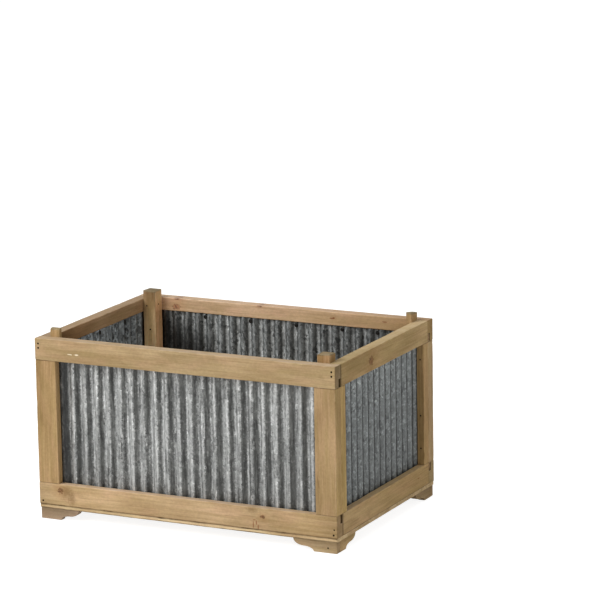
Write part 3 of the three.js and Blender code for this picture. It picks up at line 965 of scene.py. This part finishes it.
for side in TURNS:
    for end, word in zip((-1, 1), ENDS[side]):
        name = f"{side}_{word}_foot"
        low, high = side_box(name, side)
        longer, run = HAND_CUT.get(name, (0.0, 1.0))
        outline = scroll_outline(high[0] - low[0] + longer, high[2] + JOINT, run)
        points, values = eased_board(outline, low[1], high[1], radius=0.0007, end_ease=0.0006, spacing=0.003,
                                     tint_and_light=TINTS_AND_LIGHT.get(name, PLAIN), shoulder=0.0005, most=1.4)
        at_heel = (points[..., 0] < HEEL).ravel()
        points[..., 0] = low[0] + points[..., 0] if end < 0 else high[0] - points[..., 0]
        values["board"] = values["board"][:, [1, 2, 0]] + (rng.uniform(*ALONG_TRUNK), 0, 0)
        # Painted shade towards the top of each bracket.
        values["tint_and_light"] = values["tint_and_light"] * np.interp(points[..., 1].ravel(), FOOT_HEIGHTS, FOOT_PAINTED_SHADE)[:, None]
        values["end"] = at_heel.astype(float)
        place_board(f"{name}_bracket", points, values, foot_wood, side, (0, 2, 1), [name])
print("feet: 8 brackets")

# %% [markdown]
# ## Plugs
# A rabbet that runs through to the end of a rail leaves a small open slot there. At the back right corner the
# two slots are closed with short plugs of darker wood. A plug is a plain eased board that is a little smaller
# than the slot. The plugs come after all other boards, so that those keep their grain.

# %% Plugs
PLUG_LENGTH, PLUG_SINK = 0.012, 0.0004
plug_wood = stained_wood("plug_wood", tone(98, 64, 22), tone(74, 46, 14), rough=0.8, end_dark=0.2,
                         end_tone=(66, 42, 12))
for level in ("top", "bottom"):
    (x0, y0, z0), (_, y1, z1) = side_box(f"back_{level}_rail", "back")
    bottom = z0 if level == "top" else z1 - RABBET_LAP
    section = box_section((y0 + LIP + JOINT, bottom + JOINT), (y1 - JOINT, bottom + RABBET_LAP - JOINT))
    points, values = eased_board(section, x0 + PLUG_SINK, x0 + PLUG_LENGTH, radius=0.0004, end_ease=0.0003)
    place_board(f"back_right_{level}_plug", points, values, plug_wood, "back", (2, 0, 1))
print("plugs: 2, each", PLUG_LENGTH * 1000, "mm long")

# %% [markdown]
# ## Zinc
# The sheets are galvanised steel with an aged look. Painted shade darkens the right-hand flank of every
# ridge, the flank that turns away from the key lamp, while the crests and the other flanks stay bright. Close
# to, zinc shows its spangle, small crystals of slightly different greys, and flakes; the brightest crystals
# carry painted glints. Each sheet carries a mask of painted shade, a tint and its own flat coordinates, so
# the pattern follows the wave. A picture would stretch on the flanks, so every pattern is worked out on those
# coordinates. The rubbing left upright bars and lines of slightly different greys, dark pits along the rim of
# the painted shade and blotches in the valleys, which a rub mask makes strong or faint. The short sides are
# painted an even, darker grey as painted shade, with thin black lines of painted shade in their valleys, and
# where the mask falls below zero, mostly inside the box, the ridges carry a painted highlight.

# %% Aged zinc
# The third colour is a painted highlight, a glint on spangle crystals.
BRIGHT_LOW, BRIGHT_HIGH, PAINTED_GLINT = tone(150, 152, 151), tone(188, 189, 187), tone(228, 229, 227)
# The dark tones colour the painted shade on the flanks.
DARK_LOW, DARK_HIGH, DARK_SPANGLE = tone(64, 65, 63), tone(92, 93, 91), tone(146, 148, 147)
SPECK, PIT = tone(84, 84, 82), tone(46, 46, 44)
BAR_SWAY, OUT_OF_STEP = 0.004, 9.0


def cells(tree, vector, stretch):
    """A value from 0 to 1 for each cell of a crackled pattern. Factors are in cells per metre."""
    scaled = on_vector(tree, "MULTIPLY", vector, stretch)
    colour = node(tree, "ShaderNodeTexVoronoi", {"Vector": scaled, "Scale": 1.0}).outputs["Color"]
    return node(tree, "ShaderNodeSeparateColor", {0: colour}).outputs[0]


def bars(tree, vector, across, up):
    """A value from 0 to 1 for each of many upright bars, side by side, whose joints are out of step. The
    whole parts of the scaled coordinates number the bars, and the number gives the value. Factors are in bars
    per metre."""
    sway = swing(tree, noise(tree, vector, (130, 5, 40), 2), BAR_SWAY)
    axes = node(tree, "ShaderNodeSeparateXYZ", {0: vector}).outputs
    column = calc(tree, "FLOOR", times(tree, calc(tree, "ADD", axes[0], sway), across))
    start = node(tree, "ShaderNodeTexWhiteNoise", {"W": column}, noise_dimensions="1D").outputs["Value"]
    row = calc(tree, "ADD", times(tree, axes[1], up), times(tree, start, OUT_OF_STEP))
    number = {0: column, 1: calc(tree, "FLOOR", row), 2: axes[2]}
    where = node(tree, "ShaderNodeCombineXYZ", number).outputs[0]
    return node(tree, "ShaderNodeTexWhiteNoise", {"Vector": where}, noise_dimensions="3D").outputs["Value"]


def aged_zinc():
    """Grey zinc with bars, flakes, specks, painted glints and painted shade, whose rim the patterns break up.
    """
    material, tree, shader = new_material("aged_zinc")
    sheet, tint_and_light = carried(tree, "sheet", "Vector"), carried(tree, "tint_and_light", "Color")
    flank_shade, rub, flake = (carried(tree, key, "Fac") for key in ("flank_shade", "rub", "flake"))
    bar, line, block = bars(tree, sheet, 215, 12), bars(tree, sheet, 455, 22), bars(tree, sheet, 89, 24)
    spangle, fleck = cells(tree, sheet, (560, 360, 40)), cells(tree, sheet, (340, 190, 40))
    mottle = noise(tree, sheet, (190, 68, 40), 5, 0.7)
    scuff = noise(tree, sheet, (420, 8, 40), 3, 0.6)
    speck = noise(tree, sheet, (360, 320, 40), 3, 0.6)
    blotch = noise(tree, sheet, (230, 22, 40), 5, 0.72)
    patchy = ease(tree, noise(tree, sheet, (70, 45, 40), 2), 0.35, 0.65, 0.6, 1.4)
    cloud = noise(tree, sheet, (150, 11, 40), 2)

    bright = blend(tree, ease(tree, mottle, 0.3, 0.7), BRIGHT_LOW, BRIGHT_HIGH)
    # Painted glints on the brightest spangle crystals.
    painted_glint = calc(tree, "SUBTRACT", 0.9, times(tree, rub, 0.52))
    bright = blend(tree, times(tree, painted_glint, ease(tree, spangle, 0.8, 1.0)), bright, PAINTED_GLINT)
    for pattern, most, least in ((bar, 1.14, 0.8), (line, 1.2, 0.74)):
        bright = shaded(tree, bright, blend(tree, rub, WHITE, ease(tree, pattern, 0.0, 1.0, most, least)))
    bright = blend(tree, ease(tree, speck, 0.6, 0.72, 0, 0.6), bright, SPECK)
    dark = blend(tree, ease(tree, cloud, 0.32, 0.68), DARK_LOW, DARK_HIGH)
    dark = blend(tree, ease(tree, spangle, 0.82, 1.0, 0.0, 0.2), dark, DARK_SPANGLE)
    dark = shaded(tree, dark, blend(tree, rub, WHITE, ease(tree, blotch, 0.3, 0.7, 0.38, 1.66)))

    # The painted shade, broken up by the patterns, decides between bright zinc and the dark tones.
    ragged = flank_shade
    for pattern, amount in ((mottle, 0.42), (bar, 0.08), (line, 0.1), (spangle, -0.1), (scuff, 0.26)):
        ragged = calc(tree, "ADD", ragged, swing(tree, pattern, amount, rub))
    kept = calc(tree, "SUBTRACT", 1.0, times(tree, flank_shade, 1.6), clamp=True)
    kept = times(tree, kept, rub)
    ragged = calc(tree, "ADD", ragged, times(tree, ease(tree, block, 0.86, 0.9, 0.0, 0.45), kept))
    level = ease(tree, ragged, 0.06, 0.94)
    colour = blend(tree, level, bright, dark)
    # A painted highlight where the painted shade falls below zero, on sheets that are hardly rubbed.
    below = calc(tree, "SUBTRACT", 0.0, ragged, clamp=True)
    painted_gleam = times(tree, below, calc(tree, "SUBTRACT", 1.0, rub))
    colour = blend(tree, painted_gleam, colour, PAINTED_GLINT)
    rim = times(tree, level, calc(tree, "SUBTRACT", 1.0, level), 4.0)
    pits = times(tree, rim, rub, ease(tree, speck, 0.57, 0.65, 0.0, 0.85))
    colour = blend(tree, pits, colour, PIT)
    calm = times(tree, rub, calc(tree, "SUBTRACT", 0.5, times(tree, rim, 0.5)))
    flaky = times(tree, calc(tree, "SUBTRACT", 1.0, calm), times(tree, flake, patchy))
    colour = shaded(tree, colour, calc(tree, "ADD", swing(tree, fleck, flaky), 1.0))
    # This tint paints light and shade across the sheet.
    colour = shaded(tree, colour, tint_and_light)

    relief = calc(tree, "ADD", mottle, times(tree, spangle, 0.3))
    feed(tree, shader, {
        "Base Color": colour,
        "Metallic": 0.25,
        "Roughness": ease(tree, mottle, 0.25, 0.75, 0.38, 0.56),
        "Normal": bumped(tree, relief, 0.4, 0.0006),
    })
    return material


zinc = aged_zinc()
print("material", zinc.name)

# %% [markdown]
# ## Corrugated sheets
# A sheet is a cosine wave across the side, thickened along its normals. Rolled sheet isn't perfect, so ridges
# lie a few tenths of a millimetre out of place, differ a little in height and have shallow dents. The outer
# and the inner face are one closed ring of points at each height, and the rings are carried upwards. An image
# of a corrugated wall would look flat from the side; a real wave catches the light on its flanks.

# %% Sheet shape
SHEET = 0.0007
PITCH = {"front": 0.02241, "right": 0.0223, "back": 0.0223, "left": 0.0223}
CREST = {"front": 0.0079, "right": 0.0017, "back": -0.0049, "left": 0.0010}
RIDGE_STEPS, ROW_RISE, SIDE_GAP = 20, 0.006, 0.0005
LEAN, LEAN_PERIOD, ANY_START = 0.00015, (0.15, 0.5), (0, 6.3)
RIDGE_SHIFT, LESS_HIGH = 0.0005, 0.10
DENTS, DENT_WIDTH, DENT_DEPTH = 22, (0.004, 0.011), (0.0002, 0.0008)


def wavy_sheet(low, high, crest, pitch, rng):
    """Middle surface: y = -a cos(2 pi (x - crest + lean) / pitch). A face lies half the sheet along the unit
    normal (-slope, 1) / sqrt(1 + slope^2). Dents are round bumps that are added to y. Returns the grids of x
    and z, the outer and the inner face, the phase of the wave and the number of the ridge."""
    x = np.linspace(low[0] + SIDE_GAP, high[0] - SIDE_GAP, int((high[0] - low[0]) / pitch * RIDGE_STEPS))
    z = np.linspace(low[2], high[2], int((high[2] - low[2]) / ROW_RISE))
    z, x = np.meshgrid(z, x, indexing="ij")
    ridge = np.floor((x - crest) / pitch + 0.5).astype(int)
    ridge -= ridge.min()
    count = ridge.max() + 1
    period, start = rng.uniform(*LEAN_PERIOD, count)[ridge], rng.uniform(*ANY_START, count)[ridge]
    lean = LEAN * np.sin(2 * np.pi * z / period + start)
    lean += RIDGE_SHIFT * rng.uniform(-1, 1, count)[ridge]
    size = ((high[1] - low[1]) - SHEET) / 2
    phase = 2 * np.pi * (x - crest) / pitch
    on_ridge = (1 + np.cos(phase)) / 2
    swell = 1 - LESS_HIGH * rng.uniform(0, 1, count)[ridge] * on_ridge
    lean *= on_ridge
    phase = phase + 2 * np.pi * lean / pitch
    y = -size * swell * np.cos(phase)
    slope = size * 2 * np.pi / pitch * np.sin(phase)
    dent = np.zeros_like(x)
    for _ in range(DENTS):
        spot, width, depth = rng.uniform(low, high), rng.uniform(*DENT_WIDTH), rng.uniform(*DENT_DEPTH)
        dent += depth * np.exp(-((x - spot[0]) ** 2 + (z - spot[2]) ** 2 / 2) / width ** 2)
    y = (low[1] + high[1]) / 2 + np.minimum(y + dent, size)
    shift = SHEET / 2 / np.hypot(1, slope)
    outer = np.stack([x + slope * shift, y - shift, z], -1)
    inner = np.stack([x - slope * shift, y + shift, z], -1)
    return x, z, outer, inner, phase, ridge


def ring(outer, inner):
    """Joins rows of the outer face and, backwards, of the inner face into closed rings."""
    return np.concatenate([outer, inner[:, ::-1]], 1)


def sheet_faces(rows, columns):
    """Four-sided faces round the rings, and on the lower and upper edge a strip that joins the two faces."""
    sides = tube_faces(rows, columns)[0]
    here = np.arange(columns // 2 - 1)
    strip = np.stack([here, columns - 1 - here, columns - 2 - here, here + 1], 1)
    return [sides, strip, strip[:, ::-1] + (rows - 1) * columns]


print("the wave repeats every", PITCH["right"] * 1000, "mm")

# %% [markdown]
# ## The patina and painted shade of each sheet
# How dark a place is depends on its place on the wave, so a profile gives the painted shade every 15 degrees,
# from valley to valley over a ridge. The rubbed profile is for the long outer faces, the dull one for the
# short ones, and the inside and shaded ones for the inner faces. A face's look is a profile, a tint, and
# amounts of rubbing and of flakes; the tints of the short outer faces and of the inner faces paint them
# darker or lighter for the light they get. The low end of an outer face carries a painted shadow of the
# stile, and the outer faces are painted a little lighter towards the top. The same end of the inner face has
# a strip of painted shade beside the post, and the upper corner of the other end has a painted shadow that
# slants down from the rim. On the front sheet the painted shade is weaker in one place left of the middle.

# %% Sheets
# Profiles of painted shade along the wave, every 15 degrees.
SHADE_AT_DEGREES = np.arange(-173, 180, 15)
RUBBED_SHADE = (0.38, 0.27, 0.24, 0.29, 0.36, 0.38, 0.30, 0.16, 0.06, 0.02, 0.06, 0.14,
          0.27, 0.44, 0.64, 0.82, 0.93, 0.98, 0.98, 0.93, 0.84, 0.74, 0.62, 0.50)
INSIDE_SHADE = (0.54, 0.75, 0.73, 0.60, 0.51, 0.44, 0.43, 0.40, 0.38, 0.46, 0.50, 0.60,
          0.73, 0.70, 0.70, 0.74, 0.79, 0.82, 0.64, 0.15, -0.26, -0.47, -0.42, -0.04)
DULL_SHADE = (1.20, 1.15, 0.95, 0.60, 0.30, 0.12, 0.00, -0.10, -0.10, -0.10, -0.10, -0.10,
        -0.10, 0.00, 0.10, 0.25, 0.45, 0.70, 0.95, 1.10, 1.20, 1.20, 1.20, 1.20)
SHADED = (0.60, 0.55, 0.45, 0.25, 0.12, 0.05, 0.00, -0.05, 0.00, 0.00, 0.00, 0.05,
          0.15, 0.35, 0.65, 1.00, 1.20, 1.30, 1.20, 1.05, 0.95, 0.90, 0.85, 0.70)
# A look is a profile of painted shade, a tint, a rub and a flake amount. The short outer faces' tint is
# painted shade.
LONG_OUTER, SHORT_OUTER = (RUBBED_SHADE, PLAIN, 1, 0.84), (DULL_SHADE, (0.4, 0.425, 0.437), 0.3, 0.85)
OUTER = {"front": LONG_OUTER, "right": SHORT_OUTER, "back": LONG_OUTER, "left": SHORT_OUTER}
# The inner faces' tints paint them lighter or darker for the light they get inside the box.
INNER = {
    "front": (INSIDE_SHADE, PLAIN, 0.15, 0.85),
    "right": (SHADED, (0.95, 1.02, 1.08), 0.4, 1.0),
    "back": (INSIDE_SHADE, (0.97, 1.0, 1.02), 0.15, 1.05),
    "left": (SHADED, (0.99, 1.10, 1.23), 0.4, 1.35),
}
# The painted shade is weaker in one round place on the front sheet: middle x, middle z, width, amount.
LIGHTER_SPOT = {"front": (-0.067, 0.14, 0.055, 0.36)}
# Painted shadow in the upper corner of each inner face: its strength, how deep and slanted it is, and its
# ramp.
CORNER_SHADOW_SHARE = {"front": 0.3, "right": 0.3, "back": 1.0, "left": 0.3}
CORNER_DEPTH, CORNER_LEAN = 0.075, 1.6
CORNER_AT, CORNER_SHADE = (-0.04, -0.015, 0.01, 0.035, 0.075), (0.15, 0.2, 0.43, 0.68, 1.0)
# A painted shadow of the stile on the outer face, painted shade beside the post on the inner face, and
# painted light across the outer face and growing towards its top.
STILE_SHADOW, POST_GAP_SHADE = ((0.021, 0.028), (0.4, 1.0)), ((0.029, 0.0325, 0.28), (0.02, 0.55, 1.0))
ACROSS_LIGHT, UP_LIGHT = ((-0.2, -0.05, 0.2), (0.94, 0.98, 0.97)), ((0.07, 0.17, 0.27), (0.87, 1.0, 1.22))
FLAKE_FADE = ((0.05, 0.2), (1.0, 0.7))
RIDGE_SHADE = (-0.1, 0.1)
INNER_PLACE, SIDE_PLACE = (0, 0, 0.4), 3.1


def patina(x, z, phase, ridge, low, high, side, rng):
    """The painted shade is looked up by the angle along the wave, counted from a ridge to the right as seen
    by someone who looks at that face, and differs a little from ridge to ridge. Tints are products of ramps
    across and up the sheet that paint light and shade: the stile's shadow and more light towards the top
    outside, and the shade beside the post and the shadow in an upper corner inside."""
    outer_flank_shade, outer_face_light, outer_rub, outer_flake = OUTER[side]
    inner_flank_shade, inner_face_light, inner_rub, inner_flake = INNER[side]
    degrees = np.degrees(phase)
    more = rng.uniform(*RIDGE_SHADE, ridge.max() + 1)[ridge]
    outer_flank_shade = more + np.interp(degrees, SHADE_AT_DEGREES, outer_flank_shade, period=360)
    inner_flank_shade = more + np.interp(180 - degrees, SHADE_AT_DEGREES, inner_flank_shade, period=360)
    if side in LIGHTER_SPOT:
        middle_x, middle_z, width, most = LIGHTER_SPOT[side]
        outer_flank_shade -= most * np.exp(-((x - middle_x) ** 2 + (z - middle_z) ** 2) / width ** 2)
    # Painted shadow beside the stile and painted light across and up the outer face.
    light = np.interp(x - low[0], *STILE_SHADOW) * np.interp(x, *ACROSS_LIGHT) * np.interp(z, *UP_LIGHT)
    # Painted shadow in the upper corner and painted shade beside the post on the inner face.
    corner = high[0] - x - CORNER_LEAN * np.minimum(high[2] - z, CORNER_DEPTH)
    corner_shadow = 1 - CORNER_SHADOW_SHARE[side] + CORNER_SHADOW_SHARE[side] * np.interp(corner, CORNER_AT, CORNER_SHADE)
    fade = np.interp(x - low[0], *POST_GAP_SHADE) * corner_shadow
    flat = np.stack([x + SIDE_PLACE * TURNS[side], z, np.zeros_like(x)], -1)
    return {
        "flank_shade": ring(outer_flank_shade, inner_flank_shade).ravel(),
        "rub": ring(np.full(x.shape, outer_rub), np.full(x.shape, inner_rub)).ravel(),
        "flake": ring(outer_flake * np.interp(x, *FLAKE_FADE), np.full(x.shape, inner_flake)).ravel(),
        "sheet": ring(flat, flat + INNER_PLACE),
        "tint_and_light": ring(light[..., None] * outer_face_light, fade[..., None] * inner_face_light),
    }


sheet_rng = np.random.default_rng(7)
for side, quarter in TURNS.items():
    name = f"{side}_panel"
    low, high = side_box(name, side)
    x, z, outer, inner, phase, ridge = wavy_sheet(low, high, CREST[side], PITCH[side], sheet_rng)
    values = patina(x, z, phase, ridge, low, high, side, sheet_rng)
    points = turned(ring(outer, inner), quarter)
    faces = sheet_faces(*points.shape[:2])
    make_piece(f"{name}_sheet", points, faces, values, zinc, [name], sharp=60)
    print(name, "has", points.shape[0] * points.shape[1], "points")

# %% [markdown]
# ## Nails and brads
# Blackened nails with broad heads hold the zinc from inside, one every few valleys. Thin brads hold the
# rails. Their heads are driven almost flush and covered with stain, so they show as dark dots. A ready-made
# cylinder would have no head, so each is a profile spun round its axis. Its place comes from its solid's box,
# and a nail also moves to the nearest valley of the dressed sheet.

# %% Nails and brads
NAIL_HEAD, NAIL_THICK, NAIL_SHANK, NAIL_PROUD = 0.0036, 0.0015, 0.00085, 0.0003
BRAD_HEAD, BRAD_THICK, BRAD_SHANK, BRAD_PROUD = 0.0020, 0.0009, 0.0009, 0.0006
POINT = 0.0024


def driven_steel(name, dark, light, rough, metal, shine):
    """Dark steel, scuffed lighter in spots. The share of bare metal and the shine are lower under stain."""
    material, tree, shader = new_material(name)
    place = node(tree, "ShaderNodeTexCoord").outputs["Object"]
    worn = ease(tree, noise(tree, place, (700, 700, 700), 2), 0.5, 0.72)
    feed(tree, shader, {
        "Base Color": blend(tree, worn, dark, light),
        "Roughness": ease(tree, worn, 0, 1, rough, rough - 0.2),
        "Metallic": metal,
        "Specular IOR Level": shine,
    })
    return material


nail_steel = driven_steel("nail_steel", tone(24, 23, 22), tone(96, 92, 86), rough=0.6, metal=0.7, shine=0.5)
brad_steel = driven_steel("brad_steel", tone(16, 11, 7), tone(38, 27, 18), rough=0.85, metal=0.1, shine=0.1)


def spun(profile, centre, direction, sides=20):
    """Spins (radius, height) pairs round an axis d: a point is c + height d + radius (cos t u + sin t v)."""
    direction = np.asarray(direction, float)
    u = np.roll(np.abs(direction), 1)
    v = np.cross(direction, u)
    t = np.linspace(0, 2 * np.pi, sides, endpoint=False)
    circle = np.cos(t)[:, None] * u + np.sin(t)[:, None] * v
    profile = np.asarray(profile, float)
    return centre + profile[:, 1, None, None] * direction + profile[:, 0, None, None] * circle


def nail_profile(head, thick, shank, reach):
    """Radius and height from the top of a slightly domed head, at height 0, down to the point."""
    dome = np.linspace(0.05, 1, 6)
    top = np.stack([head * dome, -0.3 * thick * dome ** 2.5], 1)
    under = [(head, -0.85 * thick), (0.92 * head, -thick), (shank, -thick)]
    return np.concatenate([top, under, [(shank, -reach + POINT), (0.05 * shank, -reach)]])


count = 0
for name in sorted(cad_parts):
    is_nail = "_nail_" in name
    if not is_nail and not name.endswith("_brad"):
        continue
    side = name.split("_")[0]
    low, high = side_box(name, side)
    head, reach = (low + high) / 2, high[1] - low[1]
    if is_nail:
        profile = nail_profile(NAIL_HEAD, NAIL_THICK, NAIL_SHANK, reach)
        steel, slot = nail_steel, "nail_steel"
        ridge = round((head[0] - CREST[side]) / PITCH[side])
        head[:2], direction = (CREST[side] + ridge * PITCH[side], high[1] + NAIL_PROUD), (0, 1, 0)
    else:
        profile = nail_profile(BRAD_HEAD, BRAD_THICK, BRAD_SHANK, reach)
        steel, slot = brad_steel, "brad_steel"
        head[1], direction = low[1] - BRAD_PROUD, (0, -1, 0)
    points = turned(spun(profile, head, direction), TURNS[side])
    make_piece(f"{name}_steel", points, tube_faces(*points.shape[:2]), {}, steel, [name])
    count += 1
print("nails and brads:", count)

# %% [markdown]
# ## Small pins
# Pins with tiny heads also hold the posts, the strips and some of the feet. They are only dark dots, so all
# pins of one board are one small mesh: the same spun profile, repeated at each place. A dot of dark colour in
# the wood would do from afar, but a head catches the light.

# %% Small pins
PIN_HEAD, PIN_THICK, PIN_SHANK, PIN_REACH, PIN_PROUD, PIN_SIDES = 0.0014, 0.0005, 0.0006, 0.006, 0.0002, 12
RAIL_PIN_ASIDE, RAIL_PIN_HEIGHT = 0.0012, 0.0409
POST_PIN_HEIGHTS, SIDE_PIN_HEIGHT = (0.302, 0.2597), 0.3038
POST_PIN_INSET, POST_PIN_APART = 0.0072, 0.008
STRIP_PIN_HEIGHTS = (0.249, 0.1505, 0.0928)
FOOT_PIN_OUT, FOOT_PIN_HEIGHT = 0.2622, 0.0086


def pin_row(name, places, direction):
    """Repeats a small spun profile at each place and joins the copies into one piece."""
    profile = nail_profile(PIN_HEAD, PIN_THICK, PIN_SHANK, PIN_REACH)
    proud = PIN_PROUD * np.array(direction)
    copies = [spun(profile, np.array(place) + proud, direction, PIN_SIDES) for place in places]
    rows, columns = copies[0].shape[:2]
    faces = [table + rows * columns * k for k in range(len(copies)) for table in tube_faces(rows, columns)]
    make_piece(name, np.stack(copies), faces, {}, brad_steel)


low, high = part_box("front_right_base_brad")
rail_pin = ((low.x + high.x) / 2 + RAIL_PIN_ASIDE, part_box("front_bottom_rail")[0].y, RAIL_PIN_HEIGHT)
pin_row("front_right_rail_pin", [rail_pin], (0, -1, 0))
for right, back in ((-1, 1), (1, 1), (1, -1), (-1, -1)):
    long_side, short_side = "front" if back < 0 else "back", "right" if right > 0 else "left"
    corner = f"{long_side}_{short_side}"
    low, high = post_box[corner]
    face_x, face_y = high[0] if right < 0 else low[0], low[1] if back > 0 else high[1]
    width, middle_y = high[0] - low[0], (low[1] + high[1]) / 2
    inset = min(POST_PIN_INSET, width / 2)
    near_x = low[0] + inset if right < 0 else high[0] - inset
    far_x = near_x - right * min(POST_PIN_APART, width / 4)
    post_pins = [(x, face_y, z) for x, z in zip((near_x, far_x), POST_PIN_HEIGHTS)]
    pin_row(f"{corner}_post_pins", post_pins, (0, -back, 0))
    pin_row(f"{corner}_post_side_pin", [(face_x, middle_y, SIDE_PIN_HEIGHT)], (-right, 0, 0))
    strip = f"{short_side}_{long_side}_strip"
    low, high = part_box(strip)
    face_y, middle_x = low.y if back > 0 else high.y, (low.x + high.x) / 2
    pin_row(f"{strip}_pins", [(middle_x, face_y, z) for z in STRIP_PIN_HEIGHTS], (0, -back, 0))
    if right * back < 0:
        low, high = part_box(f"{corner}_foot")
        foot_pin = (FOOT_PIN_OUT * right, low.y if back < 0 else high.y, FOOT_PIN_HEIGHT)
        pin_row(f"{corner}_foot_pin", [foot_pin], (0, back, 0))
print("pins on", len(post_box), "corners")

# %% [markdown]
# ## Size
# The dressed box keeps to the size of its solids, apart from a few millimetres where the top of a post is
# sawn aslant. The dressed size is printed.

# %% Size
low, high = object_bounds()
print("dressed box from", tuple(low), "to", tuple(high))
